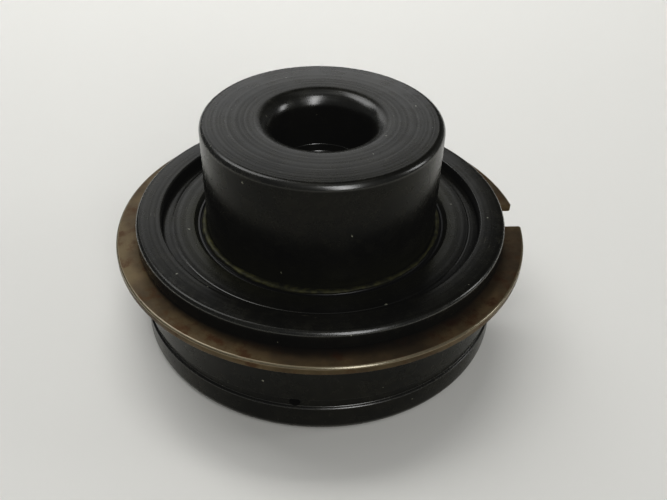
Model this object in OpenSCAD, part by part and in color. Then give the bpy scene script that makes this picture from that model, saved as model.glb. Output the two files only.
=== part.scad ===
// Cam follower: a caged cylindrical roller set runs between a hub and an outer ring.
// The outer ring carries two end plates with seals, and a snap ring in its outside groove.
// Frame: +Z along the axis towards the hub's boss, origin on the axis in the bottom face.

/* [Outer ring] */
// Outside diameter of the outer ring
ring_od = 52; // [50:0.5:54]
// Width of the outer ring
ring_w = 18; // [17:0.5:20]
// Radius on the rim's outside edge
ring_edge = 0.6; // [0.3:0.1:0.9]
// Radius on the base's outside edge
base_edge = 1.5; // [0.6:0.1:1.8]
// Radius on the edges of the two end recesses
recess_edge = 0.3; // [0.1:0.1:0.5]
// Wall left outside the end plates
rim_wall = 3.5; // [3:0.1:3.9]

/* [Snap ring] */
// Outside diameter of the fitted snap ring
snap_od = 57.9; // [55:0.1:60]
// Thickness of the snap ring
snap_t = 1.12; // [1:0.01:1.2]
// Gap between the snap ring's ends
snap_gap = 5.3; // [3:0.1:8]
// Angle of the middle of the gap, counted from +X
snap_gap_angle = 3.75; // [0:0.25:90]
// Width of the groove that holds the snap ring
snap_groove_w = 1.35; // [1.3:0.01:1.5]
// Diameter at the bottom of the snap ring groove
snap_groove_d = 49.73; // [49:0.01:50]
// Distance from the rim to the groove's near wall
snap_groove_inset = 2.46; // [2:0.01:3]

/* [Oil feed] */
// Width of the oil groove round the outer ring
oil_groove_w = 1.7; // [1.2:0.1:2]
// Depth of the oil groove
oil_groove_depth = 0.35; // [0.2:0.05:0.6]
// Height of the oil groove's middle above the base
oil_z = 5.35; // [5:0.05:6]
// Diameter of each oil hole
oil_hole_d = 1.4; // [1:0.1:1.6]
// Number of oil holes round the ring
oil_holes = 3; // [1:1:6]
// Angle of the first oil hole, counted from +X
oil_angle = 263.3; // [0:0.1:360]

/* [Hub] */
// Diameter of the boss and of the lower spigot
boss_d = 32.4; // [31:0.1:32.6]
// Height from the base to the top of the boss
hub_h = 32; // [26:0.5:40]
// Radius on the boss's top edge
boss_edge = 0.9; // [0.3:0.1:1.2]
// Diameter of the screw hole through the hub
screw_hole_d = 9; // [8.4:0.1:10]
// Diameter of the counterbore for the screw head
head_bore_d = 13.4; // [13.2:0.1:15]
// Depth of the counterbore
head_bore_depth = 8; // [5:0.5:12]
// Radius on the counterbore's mouth
head_bore_edge = 2.5; // [0.4:0.1:2.6]
// Chamfer on the screw hole's two ends
screw_chamfer = 0.5; // [0.2:0.1:0.8]

/* [Rollers and cage] */
// Number of rollers
rollers = 18; // [12:1:20]
// Diameter of each roller
roller_d = 4; // [3.8:0.1:4.2]
// Length of each roller
roller_len = 8; // [6:0.5:8]
// Radius of the circle through the rollers' centres
pitch_r = 19.4; // [19.3:0.1:19.6]
// Clearance between a roller and each raceway
race_play = 0.05; // [0.02:0.01:0.08]
// Clearance round a roller in its cage pocket
pocket_play = 0.1; // [0.06:0.01:0.15]
// Radial thickness of the cage
cage_t = 2.8; // [2.2:0.1:3]

/* [End plates and seals] */
// Depth of the end plates below the outer ring's faces
plate_inset = 1.4; // [1:0.1:1.6]
// Thickness of an end plate
plate_t = 2.2; // [2:0.1:2.4]
// Running clearance between an end plate's lip and the hub
lip_play = 0.4; // [0.2:0.05:0.5]
// Thickness of the lip that backs the seal
lip_t = 0.9; // [0.7:0.1:1.1]
// Radial width of the seal's seat, measured from the hub
seal_seat = 1.4; // [1.2:0.1:1.6]
// Running clearance between a seal's lip and the hub
seal_play = 0.07; // [0.05:0.01:0.1]
// Chamfer on the seal seat's mouth
seat_chamfer = 0.45; // [0.2:0.05:0.5]
// Side clearance between the hub's shoulders and the end plates
side_play = 0.2; // [0.1:0.05:0.3]

/* [Hidden] */
function roller_name(i) = str("roller_", i < 10 ? "0" : "", i);

$fn = 128;
eps = 0.01;
small_edge = 0.2;                      // broken corners of the turned pieces
steel_black = [0.10, 0.10, 0.095];
steel_straw = [0.45, 0.42, 0.34];
steel_bright = [0.72, 0.72, 0.74];
nylon_black = [0.16, 0.16, 0.17];
rubber_black = [0.06, 0.06, 0.06];

ring_r = ring_od / 2;
recess_r = ring_r - rim_wall;
outer_race_r = pitch_r + roller_d / 2 + race_play;
inner_race_r = pitch_r - roller_d / 2 - race_play;
boss_r = boss_d / 2;
plate_top = ring_w - plate_inset;
plate_bottom = plate_top - plate_t;    // inner face of the top plate
mid_z = ring_w / 2;
snap_groove_top = ring_w - snap_groove_inset;
snap_groove_bottom = snap_groove_top - snap_groove_w;
cage_h = plate_bottom - (ring_w - plate_bottom) - 2 * side_play;
head_seat_z = hub_h - head_bore_depth;

// Points of an arc round [cr, cz], from angle a0 to angle a1.
function arc(cr, cz, r, a0, a1, steps = 6) =
    [for (i = [0:steps]) let (a = a0 + (a1 - a0) * i / steps) [cr + r * cos(a), cz + r * sin(a)]];

// A turned solid, from its half profile in [radius, height].
module turned(profile) {
    rotate_extrude() polygon(profile);
}

// The same piece turned over, for the bottom end of the follower.
module turned_over() {
    translate([0, 0, ring_w]) mirror([0, 0, 1]) children();
}

// Hub: boss, shaft spigot and inner raceway in one hardened piece, with a counterbored hole.
module hub() {
    race_top = plate_bottom - side_play;
    race_bottom = ring_w - race_top;
    color(steel_black) turned(concat(
        [[screw_hole_d / 2 + screw_chamfer, 0],
         [boss_r - screw_chamfer, 0],
         [boss_r, screw_chamfer],
         [boss_r, race_bottom],
         [inner_race_r - small_edge, race_bottom],
         [inner_race_r, race_bottom + small_edge],
         [inner_race_r, race_top - small_edge],
         [inner_race_r - small_edge, race_top],
         [boss_r, race_top]],
        arc(boss_r - boss_edge, hub_h - boss_edge, boss_edge, 0, 90),
        arc(head_bore_d / 2 + head_bore_edge, hub_h - head_bore_edge, head_bore_edge, 90, 180),
        [[head_bore_d / 2, head_seat_z],
         [screw_hole_d / 2 + screw_chamfer, head_seat_z],
         [screw_hole_d / 2, head_seat_z - screw_chamfer],
         [screw_hole_d / 2, screw_chamfer]]));
}

// Outer ring: raceway inside, a recess at each end, snap ring groove and oil groove outside.
module outer_ring() {
    oil_floor_r = ring_r - oil_groove_depth;
    color(steel_black) difference() {
        turned(concat(
            arc(ring_r - base_edge, base_edge, base_edge, -90, 0),
            [[ring_r, oil_z - oil_groove_w / 2],
             [oil_floor_r, oil_z - oil_groove_w / 2 + oil_groove_depth / 2],
             [oil_floor_r, oil_z + oil_groove_w / 2 - oil_groove_depth / 2],
             [ring_r, oil_z + oil_groove_w / 2],
             [ring_r, snap_groove_bottom],
             [snap_groove_d / 2, snap_groove_bottom],
             [snap_groove_d / 2, snap_groove_top],
             [ring_r, snap_groove_top]],
            arc(ring_r - ring_edge, ring_w - ring_edge, ring_edge, 0, 90),
            arc(recess_r + recess_edge, ring_w - recess_edge, recess_edge, 90, 180),
            [[recess_r, plate_bottom],
             [outer_race_r, plate_bottom],
             [outer_race_r, ring_w - plate_bottom],
             [recess_r, ring_w - plate_bottom]],
            arc(recess_r + recess_edge, recess_edge, recess_edge, 180, 270)));
        for (i = [0:oil_holes - 1])
            rotate([0, 0, oil_angle + i * 360 / oil_holes])
                translate([outer_race_r - 1, 0, oil_z])
                    rotate([0, 90, 0]) cylinder(d = oil_hole_d, h = ring_r - outer_race_r + 2);
    }
}

// Snap ring: a flat split ring of spring steel, sprung into the groove.
module snap_ring() {
    low = snap_groove_bottom + eps;
    inner_r = snap_groove_d / 2 + 0.03;
    outer_r = snap_od / 2;
    corner = 0.12;
    color(steel_straw) difference() {
        turned([[inner_r, low],
                [outer_r - corner, low],
                [outer_r, low + corner],
                [outer_r, low + snap_t - corner],
                [outer_r - corner, low + snap_t],
                [inner_r, low + snap_t]]);
        rotate([0, 0, snap_gap_angle])
            translate([inner_r - 5, -snap_gap / 2, low - 1])
                cube([outer_r, snap_gap, snap_t + 2]);
    }
}

// End plate: pressed into the recess, with an inner lip and a seat for the seal.
module end_plate() {
    seat_r = boss_r + seal_seat;
    turned([[boss_r + lip_play, plate_bottom],
            [recess_r, plate_bottom],
            [recess_r, plate_top - small_edge],
            [recess_r - small_edge, plate_top],
            [seat_r + seat_chamfer, plate_top],
            [seat_r, plate_top - seat_chamfer],
            [seat_r, plate_bottom + lip_t],
            [boss_r + lip_play, plate_bottom + lip_t]]);
}

module top_end_plate() {
    color(steel_black) end_plate();
}

module bottom_end_plate() {
    color(steel_black) turned_over() end_plate();
}

// Seal: a rubber ring in the end plate's seat, with one lip that wipes the hub.
module seal() {
    seat_r = boss_r + seal_seat;
    low = plate_bottom + lip_t;
    high = plate_top - seat_chamfer;
    lip_r = boss_r + seal_play;
    back_r = boss_r + lip_play;
    turned([[back_r, low],
            [seat_r, low],
            [seat_r, high],
            [back_r, high],
            [lip_r, high - 0.15],
            [lip_r, high - 0.35]]);
}

module top_seal() {
    color(rubber_black) seal();
}

module bottom_seal() {
    color(rubber_black) turned_over() seal();
}

// Cage: one moulded ring with a pocket for each roller. The pockets wrap past the
// rollers' middles, so that a roller snaps in and stays.
module roller_cage() {
    color(nylon_black) difference() {
        translate([0, 0, mid_z - cage_h / 2])
            cylinder(r = pitch_r + cage_t / 2, h = cage_h);
        translate([0, 0, mid_z - cage_h])
            cylinder(r = pitch_r - cage_t / 2, h = 2 * cage_h);
        for (i = [0:rollers - 1])
            rotate([0, 0, i * 360 / rollers])
                translate([pitch_r, 0, mid_z - roller_len / 2 - pocket_play])
                    cylinder(r = roller_d / 2 + pocket_play, h = roller_len + 2 * pocket_play);
    }
}

// Roller number i: a ground cylinder with broken end corners.
module roller(i) {
    color(steel_bright) rotate([0, 0, (i - 1) * 360 / rollers])
        translate([pitch_r, 0, mid_z - roller_len / 2])
            turned([[0, 0],
                    [roller_d / 2 - small_edge, 0],
                    [roller_d / 2, small_edge],
                    [roller_d / 2, roller_len - small_edge],
                    [roller_d / 2 - small_edge, roller_len],
                    [0, roller_len]]);
}

hub();
outer_ring();
snap_ring();
top_end_plate();
bottom_end_plate();
top_seal();
bottom_seal();
roller_cage();
for (i = [1:rollers]) roller(i);
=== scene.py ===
import math

import bmesh
import bpy
from mathutils import Matrix, Vector


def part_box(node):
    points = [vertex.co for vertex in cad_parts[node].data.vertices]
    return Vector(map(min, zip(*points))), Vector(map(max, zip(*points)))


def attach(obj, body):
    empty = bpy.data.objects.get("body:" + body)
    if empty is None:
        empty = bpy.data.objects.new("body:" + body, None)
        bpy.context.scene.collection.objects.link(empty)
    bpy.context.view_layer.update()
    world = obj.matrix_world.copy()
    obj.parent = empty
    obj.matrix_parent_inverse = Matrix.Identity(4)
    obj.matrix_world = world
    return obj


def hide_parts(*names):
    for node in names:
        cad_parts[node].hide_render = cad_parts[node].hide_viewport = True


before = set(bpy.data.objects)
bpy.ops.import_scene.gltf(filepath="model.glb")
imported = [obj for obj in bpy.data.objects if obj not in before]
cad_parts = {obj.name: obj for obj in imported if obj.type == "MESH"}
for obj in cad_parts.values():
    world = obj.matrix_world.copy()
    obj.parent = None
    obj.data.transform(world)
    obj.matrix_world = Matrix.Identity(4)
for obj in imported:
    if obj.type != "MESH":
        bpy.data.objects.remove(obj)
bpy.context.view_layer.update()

# ---------------------------------------------------------------------------------------------
# Hub. One bar of steel, turned, hardened and ground, then black oxided and oiled: the boss on
# top, the rollers' inner raceway in the middle and a spigot below, with a hole for a cap screw.
# ---------------------------------------------------------------------------------------------
MM = 0.001
STEPS_ROUND = 256

hub_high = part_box("hub")[1]
hub_h = hub_high.z / MM
inner_race_r = hub_high.x / MM
boss_r = 16.2
boss_edge = 0.9
race_bottom, race_top = 3.8, 14.2
screw_r, screw_chamfer = 4.5, 0.5
plate_face_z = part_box("top_end_plate")[1].z / MM
head_r, head_seat_z, head_mouth = 6.7, 24.0, 2.5


def rounded(corners, steps=8):
    """A closed outline of (radius, height, rounding) corners, in mm, with each corner made an arc."""
    outline = []
    for i, (x, z, rounding) in enumerate(corners):
        here = Vector((x, z))
        before = (Vector(corners[i - 1][:2]) - here).normalized()
        after = (Vector(corners[(i + 1) % len(corners)][:2]) - here).normalized()
        half = before.angle(after) / 2
        if rounding == 0 or half > math.radians(88):
            outline.append(here)
            continue
        centre = here + (before + after).normalized() * (rounding / math.sin(half))
        start = here + before * (rounding / math.tan(half)) - centre
        turn = start.angle_signed(here + after * (rounding / math.tan(half)) - centre)
        for step in range(steps + 1):
            angle = -turn * step / steps
            outline.append(centre + Matrix.Rotation(angle, 2) @ start)
    return outline


def finished(name, mesh, *materials, sharp=35):
    """Puts a mesh in the scene as an object at the origin, with smooth faces and crisp corners."""
    piece = bpy.data.objects.new(name, mesh)
    bpy.context.scene.collection.objects.link(piece)
    for material in materials:
        mesh.materials.append(material)
    mesh.polygons.foreach_set("use_smooth", [True] * len(mesh.polygons))
    mesh.set_sharp_from_angle(angle=math.radians(sharp))
    return piece


def turned(name, outline, material, slit=None):
    """Turns an outline about the Z axis. A slit gives the first and last angle at a radius."""
    rows = STEPS_ROUND + 1 if slit else STEPS_ROUND
    shape = bmesh.new()
    rings = []
    for row in range(rows):
        ring = []
        for x, z in outline:
            first, last = slit(x) if slit else (0.0, 2 * math.pi)
            angle = first + (last - first) * row / STEPS_ROUND
            ring.append(shape.verts.new((x * MM * math.cos(angle), x * MM * math.sin(angle), z * MM)))
        rings.append(ring)
    for row in range(STEPS_ROUND):
        this, following = rings[row], rings[(row + 1) % rows]
        for i in range(len(outline)):
            j = (i + 1) % len(outline)
            shape.faces.new((this[i], this[j], following[j], following[i]))
    if slit:
        shape.faces.new(rings[0])
        shape.faces.new(rings[-1])
    bmesh.ops.recalc_face_normals(shape, faces=shape.faces)
    mesh = bpy.data.meshes.new(name)
    shape.to_mesh(mesh)
    shape.free()
    return finished(name, mesh, material)


def colour(hex_value):
    """An sRGB hex value as the linear colour that a shader takes."""
    parts = [int(hex_value[i:i + 2], 16) / 255 for i in (1, 3, 5)]
    return [p / 12.92 if p <= 0.04045 else ((p + 0.055) / 1.055) ** 2.4 for p in parts] + [1.0]


def add_node(tree, kind, settings=None, **links):
    """Adds a node. settings sets its properties and sockets, and links joins its inputs."""
    node = tree.nodes.new(kind)
    for name, value in (settings or {}).items():
        if hasattr(node, name):
            setattr(node, name, value)
        else:
            node.inputs[int(name) if name.isdigit() else name].default_value = value
    for name, source in links.items():
        socket = node.inputs[int(name[1:]) if name[1:].isdigit() else name.replace("_", " ")]
        tree.links.new(source, socket)
    return node


def new_material(name):
    """An empty material, with its tree and its Principled shader."""
    material = bpy.data.materials.new(name)
    material.use_nodes = True
    tree = material.node_tree
    tree.nodes.clear()
    shader = tree.nodes.new("ShaderNodeBsdfPrincipled")
    output = tree.nodes.new("ShaderNodeOutputMaterial")
    tree.links.new(shader.outputs["BSDF"], output.inputs["Surface"])
    return material, tree, shader


def object_place(tree):
    """Object coordinates, in metres."""
    return add_node(tree, "ShaderNodeTexCoord").outputs["Object"]


def radius_and_height(tree):
    """Object coordinates, the distance from the follower's axis, and (radius, 0, height)."""
    place = object_place(tree)
    flat = add_node(tree, "ShaderNodeVectorMath", {"operation": "MULTIPLY", "1": (1, 1, 0)}, _0=place)
    radius = add_node(tree, "ShaderNodeVectorMath", {"operation": "LENGTH"}, _0=flat.outputs[0])
    height = add_node(tree, "ShaderNodeSeparateXYZ", None, Vector=place)
    profile = add_node(tree, "ShaderNodeCombineXYZ", None, X=radius.outputs["Value"], Z=height.outputs["Z"])
    return place, radius.outputs["Value"], profile.outputs[0]


def black_oxide(name, mark_spacing, mark_depth, foot=None):
    """Black oxide on turned steel: a matt magnetite film, sealed with oil, so that nearly all the
    light that leaves it is the oil's reflection, combed by the tool marks under it. foot is the
    (radius, height) of the corner where grease has crept out and stained the film."""
    material, tree, shader = new_material(name)
    place, radius, profile = radius_and_height(tree)
    normal = add_node(tree, "ShaderNodeNewGeometry").outputs["Normal"]
    upward = add_node(tree, "ShaderNodeSeparateXYZ", None, Vector=normal).outputs["Z"]
    face = add_node(tree, "ShaderNodeMapRange", {"From Min": 0.5, "From Max": 0.9}, Value=upward)
    on_a_face = face.outputs[0]

    # The oxide is never quite even: browner where it is thin.
    patches = add_node(tree, "ShaderNodeTexNoise", {"Scale": 1 / (7 * MM), "Detail": 3.0}, Vector=place)
    film = add_node(tree, "ShaderNodeValToRGB", None, Fac=patches.outputs[0])
    film.color_ramp.elements[0].position = 0.35
    film.color_ramp.elements[0].color = colour("#13130F")
    film.color_ramp.elements[1].position = 0.7
    film.color_ramp.elements[1].color = colour("#1E1D17")
    tint = film.outputs["Color"]

    # Tool marks follow the radius on a face. The walls were ground, so theirs are faint. A real
    # feed is 0.1 to 0.2 mm, and the marks are drawn coarser than that so that they show.
    marks = add_node(tree, "ShaderNodeTexNoise", {"Scale": 1 / (mark_spacing * MM), "Detail": 2.5},
                     Vector=profile)
    cut = add_node(tree, "ShaderNodeMapRange", {"To Min": 0.15, "To Max": 1.0}, Value=on_a_face)
    bump = add_node(tree, "ShaderNodeBump", {"Distance": mark_depth * MM},
                    Height=marks.outputs[0], Strength=cut.outputs[0])
    combed = add_node(tree, "ShaderNodeMapRange",
                      {"From Min": 0.35, "From Max": 0.65, "To Min": 0.22, "To Max": 0.40},
                      Value=marks.outputs[0])
    sheen = add_node(tree, "ShaderNodeMix", {"2": 0.3}, _0=on_a_face, _3=combed.outputs[0])

    # Handling has burnished the rounded edges down to dense magnetite, which shines more.
    slope = add_node(tree, "ShaderNodeMath", {"operation": "ABSOLUTE"}, _0=upward)
    level = add_node(tree, "ShaderNodeMath", {"operation": "SUBTRACT", "0": 1.0}, _1=slope.outputs[0])
    edge = add_node(tree, "ShaderNodeMath", {"operation": "MULTIPLY"}, _0=slope.outputs[0], _1=level.outputs[0])
    index = add_node(tree, "ShaderNodeMapRange",
                     {"From Min": 0.05, "From Max": 0.25, "To Min": 1.5, "To Max": 2.4}, Value=edge.outputs[0])

    # Oil lies thicker in some places, so the gloss wanders a little.
    wet = add_node(tree, "ShaderNodeTexNoise", {"Scale": 1 / (3 * MM), "Detail": 4.0}, Vector=place)
    gloss = add_node(tree, "ShaderNodeMapRange", {"To Min": 0.18, "To Max": 0.32}, Value=wet.outputs[0])

    # Fine scratches run round the axis, in short arcs.
    across = add_node(tree, "ShaderNodeSeparateXYZ", None, Vector=place)
    angle = add_node(tree, "ShaderNodeMath", {"operation": "ARCTAN2"},
                     _0=across.outputs["Y"], _1=across.outputs["X"])
    slow = add_node(tree, "ShaderNodeMath", {"operation": "MULTIPLY", "1": 2.5 * MM}, _0=angle.outputs[0])
    arcs = add_node(tree, "ShaderNodeCombineXYZ", None, X=radius, Y=slow.outputs[0])
    scuffs = add_node(tree, "ShaderNodeTexNoise", {"Scale": 1 / (0.35 * MM), "Detail": 1.0},
                      Vector=arcs.outputs[0])
    scuff = add_node(tree, "ShaderNodeMapRange",
                     {"From Min": 0.73, "From Max": 0.79, "To Max": 0.5}, Value=scuffs.outputs[0])
    scratched = add_node(tree, "ShaderNodeMath", {"operation": "MULTIPLY"}, _0=scuff.outputs[0], _1=on_a_face)
    worn = add_node(tree, "ShaderNodeMix", {"data_type": "RGBA", "7": colour("#5C5B52")},
                    _0=scratched.outputs[0], _6=tint)
    tint = worn.outputs[2]

    # A thin uneven film of dirt and dried oil, duller than the oxide.
    blotches = add_node(tree, "ShaderNodeTexNoise",
                        {"Scale": 1 / (1.6 * MM), "Detail": 6.0, "Roughness": 0.7}, Vector=place)
    dirt = add_node(tree, "ShaderNodeMapRange",
                    {"From Min": 0.46, "From Max": 0.66, "To Max": 0.45}, Value=blotches.outputs[0])
    dirty = add_node(tree, "ShaderNodeMix", {"data_type": "RGBA", "7": colour("#2B2A22")},
                     _0=dirt.outputs[0], _6=tint)
    tint = dirty.outputs[2]
    smudged = add_node(tree, "ShaderNodeMath", {"operation": "MULTIPLY_ADD", "1": 0.1},
                       _0=dirt.outputs[0], _2=gloss.outputs[0])

    if foot:
        near = add_node(tree, "ShaderNodeVectorMath",
                        {"operation": "DISTANCE", "1": (foot[0] * MM, 0, foot[1] * MM)}, _0=profile)
        reach = add_node(tree, "ShaderNodeMapRange",
                         {"From Min": 0.2 * MM, "From Max": 4.5 * MM, "To Min": 1.0, "To Max": 0.0},
                         Value=near.outputs["Value"])
        smear = add_node(tree, "ShaderNodeMath", {"operation": "MULTIPLY"},
                         _0=reach.outputs[0], _1=wet.outputs[0])
        stain = add_node(tree, "ShaderNodeMix", {"data_type": "RGBA", "7": colour("#33331C")},
                         _0=smear.outputs[0], _6=tint)
        tint = stain.outputs[2]

    # Lint and dust: small pale specks.
    drift = add_node(tree, "ShaderNodeTexNoise", {"Scale": 1 / (0.35 * MM), "Detail": 1.0}, Vector=place)
    ragged = add_node(tree, "ShaderNodeVectorMath", {"operation": "MULTIPLY_ADD", "1": (0.6 * MM,) * 3},
                      _0=drift.outputs["Color"], _2=place)
    cells = add_node(tree, "ShaderNodeTexVoronoi", {"Scale": 1 / (2.2 * MM)}, Vector=ragged.outputs[0])
    few = add_node(tree, "ShaderNodeSeparateColor", None, Color=cells.outputs["Color"])
    size = add_node(tree, "ShaderNodeMapRange",
                    {"From Min": 0.4, "From Max": 1.0, "To Min": 0.0, "To Max": 0.09}, Value=few.outputs["Red"])
    speck = add_node(tree, "ShaderNodeMath", {"operation": "LESS_THAN"}, _0=cells.outputs["Distance"],
                     _1=size.outputs[0])
    dusty = add_node(tree, "ShaderNodeMix", {"data_type": "RGBA", "7": colour("#75756B")},
                     _0=speck.outputs[0], _6=tint)
    tree.links.new(dusty.outputs[2], shader.inputs["Base Color"])
    tree.links.new(smudged.outputs[0], shader.inputs["Roughness"])
    tree.links.new(bump.outputs[0], shader.inputs["Normal"])
    tree.links.new(sheen.outputs[0], shader.inputs["Specular IOR Level"])
    tree.links.new(index.outputs[0], shader.inputs["IOR"])
    return material


hub = turned("hub_turned", rounded([
    (screw_r + screw_chamfer, 0, 0.05),
    (boss_r - screw_chamfer, 0, 0.1),
    (boss_r, screw_chamfer, 0.1),
    (boss_r, race_bottom, 0.15),
    (inner_race_r, race_bottom, 0.2),
    (inner_race_r, race_top, 0.2),
    (boss_r, race_top, 0.15),
    (boss_r, hub_h, boss_edge),
    (head_r, hub_h, head_mouth),
    (head_r, head_seat_z, 0.2),
    (screw_r + screw_chamfer, head_seat_z, 0.05),
    (screw_r, head_seat_z - screw_chamfer, 0.05),
    (screw_r, screw_chamfer, 0.05),
]), black_oxide("black_oxide_turned_hub", 0.38, 0.011, foot=(boss_r, plate_face_z)))
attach(hub, "hub")
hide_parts("hub")

# ---------------------------------------------------------------------------------------------
# Rollers and cage. The rollers are bearing steel, centreless ground to a mirror; the cage is
# one ring of glass-filled nylon, moulded black, that the rollers snap into.
# ---------------------------------------------------------------------------------------------
rollers = [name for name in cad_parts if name.startswith("roller_") and name != "roller_cage"]


def ground_steel():
    """Bearing steel, ground: near-white metal whose fine lines run round the roller."""
    material, tree, shader = new_material("bearing_steel_ground")
    place = object_place(tree)
    lines = add_node(tree, "ShaderNodeMapping", {"Scale": (1, 1, 40)}, Vector=place)
    grind = add_node(tree, "ShaderNodeTexNoise", {"Scale": 1 / (4 * MM), "Detail": 3.0},
                     Vector=lines.outputs[0])
    gloss = add_node(tree, "ShaderNodeMapRange", {"To Min": 0.08, "To Max": 0.22}, Value=grind.outputs[0])
    bump = add_node(tree, "ShaderNodeBump", {"Strength": 0.4, "Distance": 0.001 * MM}, Height=grind.outputs[0])
    shader.inputs["Base Color"].default_value = colour("#C6C8CA")
    shader.inputs["Metallic"].default_value = 1.0
    tree.links.new(gloss.outputs[0], shader.inputs["Roughness"])
    tree.links.new(bump.outputs[0], shader.inputs["Normal"])
    return material


def moulded_nylon():
    """Glass-filled polyamide, moulded: dull black, with fibre ends that mottle the skin."""
    material, tree, shader = new_material("polyamide_moulded_cage")
    place = object_place(tree)
    fibres = add_node(tree, "ShaderNodeTexNoise", {"Scale": 1 / (0.25 * MM), "Detail": 3.0}, Vector=place)
    tint = add_node(tree, "ShaderNodeValToRGB", None, Fac=fibres.outputs[0])
    tint.color_ramp.elements[0].position = 0.4
    tint.color_ramp.elements[0].color = colour("#18181A")
    tint.color_ramp.elements[1].position = 0.75
    tint.color_ramp.elements[1].color = colour("#2E2E30")
    bump = add_node(tree, "ShaderNodeBump", {"Strength": 0.5, "Distance": 0.01 * MM}, Height=fibres.outputs[0])
    tree.links.new(tint.outputs["Color"], shader.inputs["Base Color"])
    tree.links.new(bump.outputs[0], shader.inputs["Normal"])
    shader.inputs["Roughness"].default_value = 0.48
    return material


def coat(nodes, material):
    """Gives CAD nodes one material in place of their own."""
    for name in nodes:
        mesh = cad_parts[name].data
        mesh.materials.clear()
        mesh.materials.append(material)


coat(rollers, ground_steel())
coat(["roller_cage"], moulded_nylon())

# ---------------------------------------------------------------------------------------------
# Outer ring. Turned and hardened steel with a ground outside, black oxided. It has a recess for
# an end plate at each end, a groove for the snap ring, and an oil groove with drilled holes.
# ---------------------------------------------------------------------------------------------
ring_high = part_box("outer_ring")[1]
ring_r, ring_w = ring_high.x / MM, ring_high.z / MM
plate_low, plate_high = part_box("top_end_plate")
recess_r = plate_high.x / MM
plate_inner_z = plate_low.z / MM
outer_race_r = 21.45
snap_low, snap_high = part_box("snap_ring")
snap_z, snap_t = snap_low.z / MM, (snap_high.z - snap_low.z) / MM
groove_r, groove_w = 24.865, 1.35
groove_z = snap_z - 0.01
oil_z, oil_w, oil_depth = 5.35, 1.7, 0.35
oil_hole_r, oil_holes, oil_angle = 0.7, 3, math.radians(263.3)
ring_edge, base_edge = 0.6, 1.5


def hole_cutters(count, ring_radius, height, hole_radius, first_angle):
    """Drills on a circle, pointing at the axis, made by Geometry Nodes as one mesh."""
    tree = bpy.data.node_groups.new("oil_hole_drills", "GeometryNodeTree")
    face = tree.interface
    face.new_socket("Geometry", in_out="OUTPUT", socket_type="NodeSocketGeometry")
    inputs = {"Holes": ("NodeSocketInt", count), "Ring radius": ("NodeSocketFloat", ring_radius),
              "Height": ("NodeSocketFloat", height), "Hole radius": ("NodeSocketFloat", hole_radius),
              "First angle": ("NodeSocketFloat", first_angle)}
    keys = {name: face.new_socket(name, in_out="INPUT", socket_type=kind).identifier
            for name, (kind, value) in inputs.items()}
    given = tree.nodes.new("NodeGroupInput").outputs
    circle = add_node(tree, "GeometryNodeMeshCircle", None,
                      Vertices=given["Holes"], Radius=given["Ring radius"])
    drill = add_node(tree, "GeometryNodeMeshCylinder", {"Vertices": 48, "Depth": 8 * MM},
                     Radius=given["Hole radius"])
    outward = add_node(tree, "FunctionNodeAlignRotationToVector", {"axis": "Z"},
                       Vector=add_node(tree, "GeometryNodeInputPosition").outputs[0])
    placed = add_node(tree, "GeometryNodeInstanceOnPoints", None, Points=circle.outputs[0],
                      Instance=drill.outputs[0], Rotation=outward.outputs[0])
    turn = add_node(tree, "ShaderNodeCombineXYZ", None, Z=given["First angle"])
    lift = add_node(tree, "ShaderNodeCombineXYZ", None, Z=given["Height"])
    moved = add_node(tree, "GeometryNodeRealizeInstances", None, Geometry=placed.outputs[0])
    moved = add_node(tree, "GeometryNodeTransform", None, Geometry=moved.outputs[0],
                     Translation=lift.outputs[0], Rotation=turn.outputs[0])
    end = tree.nodes.new("NodeGroupOutput")
    tree.links.new(moved.outputs[0], end.inputs[0])
    blank = bpy.data.meshes.new("oil_hole_drills")
    drills = bpy.data.objects.new("oil_hole_drills", blank)
    bpy.context.scene.collection.objects.link(drills)
    modifier = drills.modifiers.new("drills", "NODES")
    modifier.node_group = tree
    for name, (kind, value) in inputs.items():
        modifier[keys[name]] = value
    return drills


def drilled(piece, drills):
    """Cuts the drills out of a piece, and keeps the result as its plain mesh."""
    cut = piece.modifiers.new("holes", "BOOLEAN")
    cut.operation = "DIFFERENCE"
    cut.solver = "EXACT"
    cut.object = drills
    result = bpy.data.meshes.new_from_object(piece.evaluated_get(bpy.context.evaluated_depsgraph_get()))
    piece.modifiers.remove(cut)
    piece.data = result
    result.polygons.foreach_set("use_smooth", [True] * len(result.polygons))
    result.set_sharp_from_angle(angle=math.radians(35))
    bpy.data.objects.remove(drills)


outer_ring = turned("outer_ring_turned", rounded([
    (recess_r, 0, 0.3),
    (ring_r, 0, base_edge),
    (ring_r, oil_z - oil_w / 2, 0.22),
    (ring_r - oil_depth, oil_z - oil_w / 2 + oil_depth / 2, 0.15),
    (ring_r - oil_depth, oil_z + oil_w / 2 - oil_depth / 2, 0.15),
    (ring_r, oil_z + oil_w / 2, 0.1),
    (ring_r, groove_z, 0.1),
    (groove_r, groove_z, 0.1),
    (groove_r, groove_z + groove_w, 0.1),
    (ring_r, groove_z + groove_w, 0.15),
    (ring_r, ring_w, ring_edge),
    (recess_r, ring_w, 0.3),
    (recess_r, plate_inner_z, 0.1),
    (outer_race_r, plate_inner_z, 0.2),
    (outer_race_r, ring_w - plate_inner_z, 0.2),
    (recess_r, ring_w - plate_inner_z, 0.1),
]), black_oxide("black_oxide_turned_ring", 0.4, 0.008))
drilled(outer_ring, hole_cutters(oil_holes, ring_r * MM, oil_z * MM, oil_hole_r * MM, oil_angle))
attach(outer_ring, "outer_ring")
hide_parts("outer_ring")

# ---------------------------------------------------------------------------------------------
# End plates. Turned steel rings, black oxided, pressed into the recesses. The face has tool
# marks and one shallow turned line, and grease has stained it near the boss.
# ---------------------------------------------------------------------------------------------
lip_r, lip_t = 16.6, 0.9
seat_r, seat_chamfer = 17.6, 0.45
line_r, line_w, line_depth = 21.1, 0.3, 0.05


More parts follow.
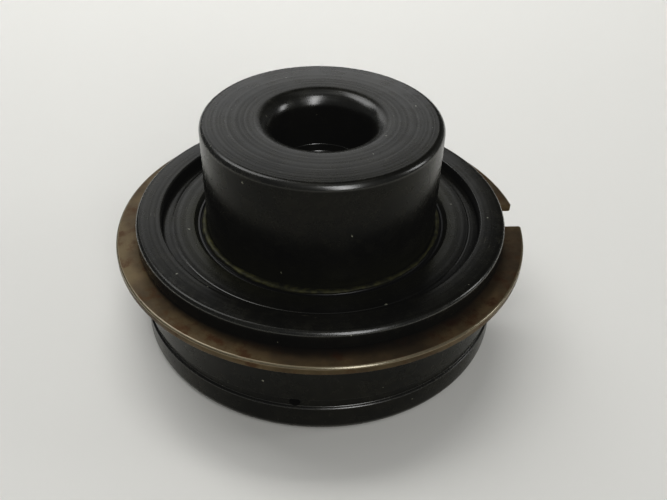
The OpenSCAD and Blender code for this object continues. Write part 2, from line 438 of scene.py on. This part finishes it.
def end_plate(name, material, turn_over):
    """One end plate, for the top end as it lies, or turned over for the bottom end."""
    outline = rounded([
        (lip_r, plate_inner_z, 0.12),
        (recess_r, plate_inner_z, 0.1),
        (recess_r, plate_face_z, 0.2),
        (line_r + line_w / 2, plate_face_z, 0.04),
        (line_r, plate_face_z - line_depth, 0.04),
        (line_r - line_w / 2, plate_face_z, 0.04),
        (seat_r + seat_chamfer, plate_face_z, 0.08),
        (seat_r, plate_face_z - seat_chamfer, 0.08),
        (seat_r, plate_inner_z + lip_t, 0.05),
        (lip_r, plate_inner_z + lip_t, 0.1)], steps=5)
    if turn_over:
        outline = [(x, ring_w - z) for x, z in outline]
    plate = turned(name + "_turned", outline, material)
    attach(plate, "outer_ring")
    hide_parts(name)


plate_steel = black_oxide("black_oxide_turned_plate", 0.38, 0.011, foot=(boss_r, plate_face_z))
end_plate("top_end_plate", plate_steel, False)
end_plate("bottom_end_plate", plate_steel, True)

# ---------------------------------------------------------------------------------------------
# Seals. Nitrile rubber rings, moulded, with a shallow groove behind the lip. Each is pushed
# into its end plate's seat and wipes the hub.
# ---------------------------------------------------------------------------------------------
seal_low, seal_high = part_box("top_seal")
seal_z, seal_top = seal_low.z / MM, seal_high.z / MM
seal_lip_r, lip_slope = 16.27, 0.2
lip_groove_r, lip_groove_w, lip_groove_depth = 17.1, 0.3, 0.2


def moulded_rubber():
    """Nitrile rubber, moulded and wet with oil: black, with a soft sheen."""
    material, tree, shader = new_material("nitrile_rubber_moulded")
    place = object_place(tree)
    grain = add_node(tree, "ShaderNodeTexNoise", {"Scale": 1 / (0.12 * MM), "Detail": 2.0}, Vector=place)
    bump = add_node(tree, "ShaderNodeBump", {"Strength": 0.3, "Distance": 0.004 * MM}, Height=grain.outputs[0])
    gloss = add_node(tree, "ShaderNodeMapRange", {"To Min": 0.3, "To Max": 0.5}, Value=grain.outputs[0])
    shader.inputs["Base Color"].default_value = colour("#0D0D0C")
    tree.links.new(gloss.outputs[0], shader.inputs["Roughness"])
    tree.links.new(bump.outputs[0], shader.inputs["Normal"])
    return material


def seal(name, material, turn_over):
    """One seal, for the top end as it lies, or turned over for the bottom end."""
    outline = rounded([
        (lip_r, seal_z, 0.05),
        (seat_r, seal_z, 0.05),
        (seat_r, seal_top, 0.08),
        (lip_groove_r + lip_groove_w / 2, seal_top, 0.06),
        (lip_groove_r, seal_top - lip_groove_depth, 0.05),
        (lip_groove_r - lip_groove_w / 2, seal_top, 0.06),
        (lip_r, seal_top, 0.08),
        (seal_lip_r, seal_top - lip_slope, 0.06)], steps=5)
    if turn_over:
        outline = [(x, ring_w - z) for x, z in outline]
    ring = turned(name + "_moulded", outline, material)
    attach(ring, "outer_ring")
    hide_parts(name)


rubber = moulded_rubber()
seal("top_seal", rubber, False)
seal("bottom_seal", rubber, True)

# ---------------------------------------------------------------------------------------------
# Grease. A thin uneven bead of old lithium grease, pressed out past the top seal's lip and
# lying in the corner between the seal and the boss.
# ---------------------------------------------------------------------------------------------
bead_steps, bead_sides = 240, 12
bead_gap, bead_lift, bead_section, bead_fullest = 0.40, 0.12, 0.28, math.radians(-115)


def bead_mesh():
    """A closed tube round the boss, whose thickness and height wander."""
    shape = bmesh.new()
    rings = []
    for step in range(bead_steps):
        angle = 2 * math.pi * step / bead_steps
        swell = (0.35 * math.cos(angle - bead_fullest) + 0.16 * math.sin(3 * angle + 0.6)
                 + 0.16 * math.sin(7 * angle + 2.1) + 0.14 * math.sin(17 * angle + 0.9)
                 + 0.08 * math.sin(41 * angle))
        thick = bead_section * (1.0 + swell)
        centre = Vector((boss_r + bead_gap, seal_top + bead_lift))
        ring = []
        for side in range(bead_sides):
            around = 2 * math.pi * side / bead_sides
            x = centre.x + 1.3 * thick * math.cos(around)
            z = centre.y + 0.7 * thick * math.sin(around)
            ring.append(shape.verts.new((x * MM * math.cos(angle), x * MM * math.sin(angle), z * MM)))
        rings.append(ring)
    for step in range(bead_steps):
        this, following = rings[step], rings[(step + 1) % bead_steps]
        for i in range(bead_sides):
            j = (i + 1) % bead_sides
            shape.faces.new((this[i], this[j], following[j], following[i]))
    bmesh.ops.recalc_face_normals(shape, faces=shape.faces)
    mesh = bpy.data.meshes.new("grease_bead")
    shape.to_mesh(mesh)
    shape.free()
    return mesh


def old_grease():
    """Grease that has taken up oxide and dust: olive, waxy, lit a little from within."""
    material, tree, shader = new_material("lithium_grease_old")
    place = object_place(tree)
    lumps = add_node(tree, "ShaderNodeTexNoise", {"Scale": 1 / (0.8 * MM), "Detail": 3.0}, Vector=place)
    tint = add_node(tree, "ShaderNodeValToRGB", None, Fac=lumps.outputs[0])
    tint.color_ramp.elements[0].position = 0.35
    tint.color_ramp.elements[0].color = colour("#24241A")
    tint.color_ramp.elements[1].position = 0.7
    tint.color_ramp.elements[1].color = colour("#494830")
    bump = add_node(tree, "ShaderNodeBump", {"Strength": 0.6, "Distance": 0.05 * MM}, Height=lumps.outputs[0])
    tree.links.new(tint.outputs["Color"], shader.inputs["Base Color"])
    tree.links.new(bump.outputs[0], shader.inputs["Normal"])
    shader.inputs["Roughness"].default_value = 0.5
    shader.inputs["IOR"].default_value = 1.35
    return material


grease = finished("grease_bead", bead_mesh(), old_grease(), sharp=80)
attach(grease, "outer_ring")

# ---------------------------------------------------------------------------------------------
# Snap ring. Flat spring steel, stamped and left bare, so it has tarnished to a dull straw with
# brown rust. Its top outer edge is worn bright, and is painted lighter still as a painted
# highlight. Its ends are cut square.
# ---------------------------------------------------------------------------------------------
snap_r = -snap_low.x / MM
snap_inner_r = groove_r + 0.03
snap_gap, snap_gap_angle = 5.3, math.radians(3.75)
snap_corner, snap_edge = 0.45, 0.3


def beside_the_gap(radius):
    """First and last angle of the ring at a radius: the ends stay parallel, with round corners."""
    past = max(0.0, radius - (snap_r - snap_corner))
    round_off = snap_corner - math.sqrt(max(0.0, snap_corner ** 2 - past ** 2))
    half = math.asin((snap_gap / 2 + round_off) / radius)
    return snap_gap_angle + half, snap_gap_angle + 2 * math.pi - half


def tarnished_spring_steel():
    """Bare spring steel, tarnished: a straw and olive film, brown rust in patches, and a worn top edge painted
    lighter as a painted highlight.
    """
    material, tree, shader = new_material("spring_steel_tarnished")
    place, _, profile = radius_and_height(tree)
    broad = add_node(tree, "ShaderNodeTexNoise",
                     {"Scale": 1 / (6 * MM), "Detail": 4.0, "Roughness": 0.6}, Vector=place)
    tarnish = add_node(tree, "ShaderNodeValToRGB", None, Fac=broad.outputs[0])
    tarnish.color_ramp.elements[0].position = 0.35
    tarnish.color_ramp.elements[0].color = colour("#4B4235")
    tarnish.color_ramp.elements[1].position = 0.65
    tarnish.color_ramp.elements[1].color = colour("#655946")
    fine = add_node(tree, "ShaderNodeTexNoise",
                    {"Scale": 1 / (2.4 * MM), "Detail": 6.0, "Roughness": 0.65}, Vector=place)
    rust = add_node(tree, "ShaderNodeMapRange", {"From Min": 0.52, "From Max": 0.66}, Value=fine.outputs[0])
    rusty = add_node(tree, "ShaderNodeMix", {"data_type": "RGBA", "7": colour("#4B3722")},
                     _0=rust.outputs[0], _6=tarnish.outputs["Color"])
    # The top outer corner is painted a pale steel colour: partly real wear, partly a painted highlight where
    # the light catches that edge.
    corner = add_node(tree, "ShaderNodeVectorMath",
                      {"operation": "DISTANCE", "1": (snap_r * MM, 0, (snap_z + snap_t) * MM)}, _0=profile)
    edge = add_node(tree, "ShaderNodeMapRange",
                    {"From Min": 0.34 * MM, "From Max": 0.16 * MM}, Value=corner.outputs["Value"])
    worn_edge_and_painted_highlight = add_node(tree, "ShaderNodeMix", {"data_type": "RGBA", "7": colour("#8A8271")},
                      _0=edge.outputs[0], _6=rusty.outputs[2])
    dull = add_node(tree, "ShaderNodeMapRange", {"To Min": 0.36, "To Max": 0.58}, Value=fine.outputs[0])
    gloss = add_node(tree, "ShaderNodeMix", {"3": 0.2}, _0=edge.outputs[0], _2=dull.outputs[0])
    metal = add_node(tree, "ShaderNodeMapRange", {"To Min": 0.72, "To Max": 0.5}, Value=rust.outputs[0])
    bump = add_node(tree, "ShaderNodeBump", {"Strength": 0.6, "Distance": 0.02 * MM}, Height=fine.outputs[0])
    tree.links.new(worn_edge_and_painted_highlight.outputs[2], shader.inputs["Base Color"])
    tree.links.new(gloss.outputs[0], shader.inputs["Roughness"])
    tree.links.new(metal.outputs[0], shader.inputs["Metallic"])
    tree.links.new(bump.outputs[0], shader.inputs["Normal"])
    return material


corner_steps = [snap_r - snap_corner * (1 - math.sin(math.radians(a))) for a in (0, 20)]
snap_outline = rounded([
    (snap_inner_r, snap_z, 0.1),
    *[(x, snap_z, 0) for x in corner_steps],
    (snap_r, snap_z, 0.1),
    (snap_r, snap_z + snap_t, snap_edge),
    *[(x, snap_z + snap_t, 0) for x in reversed(corner_steps)],
    (snap_inner_r, snap_z + snap_t, 0.1)], steps=4)
snap_ring = turned("snap_ring_stamped", snap_outline, tarnished_spring_steel(), slit=beside_the_gap)
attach(snap_ring, "outer_ring")
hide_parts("snap_ring")

# ---------------------------------------------------------------------------------------------
# Table, light and camera. A pale matt tabletop under soft lights from behind and above, with
# narrow windows in front and at the side that put thin bright lines on the rounded edges.
# ---------------------------------------------------------------------------------------------
table_size = 4.0
bpy.ops.mesh.primitive_plane_add(size=table_size, location=(0, 0, 0))
table = bpy.context.object
table.name = "table"
table_material, _, table_shader = new_material("matt_laminate_table")
table_shader.inputs["Base Color"].default_value = colour("#DCDBD6")
table_shader.inputs["Roughness"].default_value = 0.7
table.data.materials.append(table_material)


def soft_light(name, azimuth, elevation, distance, width, height, power, aim=(0, 0, 0.016), spread=180):
    """A soft panel, placed round the follower by azimuth from +X, that faces the point aim."""
    light = bpy.data.lights.new(name, "AREA")
    light.shape = "RECTANGLE"
    light.size, light.size_y = width, height
    light.energy = power
    light.spread = math.radians(spread)
    lamp = bpy.data.objects.new(name, light)
    a, e = math.radians(azimuth), math.radians(elevation)
    away = Vector((math.cos(a) * math.cos(e), math.sin(a) * math.cos(e), math.sin(e)))
    lamp.location = away * distance + Vector((0, 0, hub_high.z / 2))
    lamp.rotation_euler = (lamp.location - Vector(aim)).to_track_quat("Z", "Y").to_euler()
    bpy.context.scene.collection.objects.link(lamp)
    return lamp


soft_light("key_lamp", 142, 56, 0.5, 0.26, 0.24, 0.70)
soft_light("back_wall", 103, 29, 0.9, 0.8, 0.4, 1.1)
soft_light("front_window", -70, 38, 0.7, 0.18, 0.7, 1.9)
soft_light("side_window", 4, 24, 0.7, 0.14, 0.26, 0.40)
soft_light("room_behind_the_camera", -90, 60, 0.9, 1.0, 0.8, 0.2)
soft_light("ceiling", 90, 80, 0.9, 0.6, 0.6, 0.6)

# This lamp is flagged off the follower: it only brightens the table behind it.
far_lamp = soft_light("far_lamp", 90, 66, 0.8, 0.4, 0.3, 0.48, aim=(0, 0.28, 0), spread=60)
table_only = bpy.data.collections.new("table_only")
table_only.objects.link(table)
far_lamp.light_linking.receiver_collection = table_only

world = bpy.data.worlds.new("pale_room")
bpy.context.scene.world = world
world.use_nodes = True
world.node_tree.nodes["Background"].inputs["Color"].default_value = colour("#D8DADB")
world.node_tree.nodes["Background"].inputs["Strength"].default_value = 0.23

camera_data = bpy.data.cameras.new("camera")
camera_data.lens = 41.28
camera_data.sensor_width = 36.0
camera_data.clip_start = 0.005
camera = bpy.data.objects.new("camera", camera_data)
camera_back, camera_up = 89.33 * MM, 81.18 * MM
pitch_down, yaw, roll = math.radians(38.64), math.radians(1.24), math.radians(1.64)
turn = (Matrix.Rotation(-yaw, 4, "Z") @ Matrix.Rotation(math.pi / 2 - pitch_down, 4, "X")
        @ Matrix.Rotation(roll, 4, "Z"))
camera.matrix_world = Matrix.Translation((0, -camera_back, camera_up)) @ turn
bpy.context.scene.collection.objects.link(camera)
bpy.context.scene.camera = camera

# Contrast: the darkest tones are pressed down a little.
view = bpy.context.scene.view_settings
view.view_transform = "Standard"
view.use_curve_mapping = True
tones = view.curve_mapping.curves[3].points
tones[0].location = (0, 0.0025)
for dark, shown in ((0.02, 0.0085), (0.06, 0.042), (0.13, 0.122), (0.5, 0.5)):
    tones.new(dark, shown)
view.curve_mapping.update()
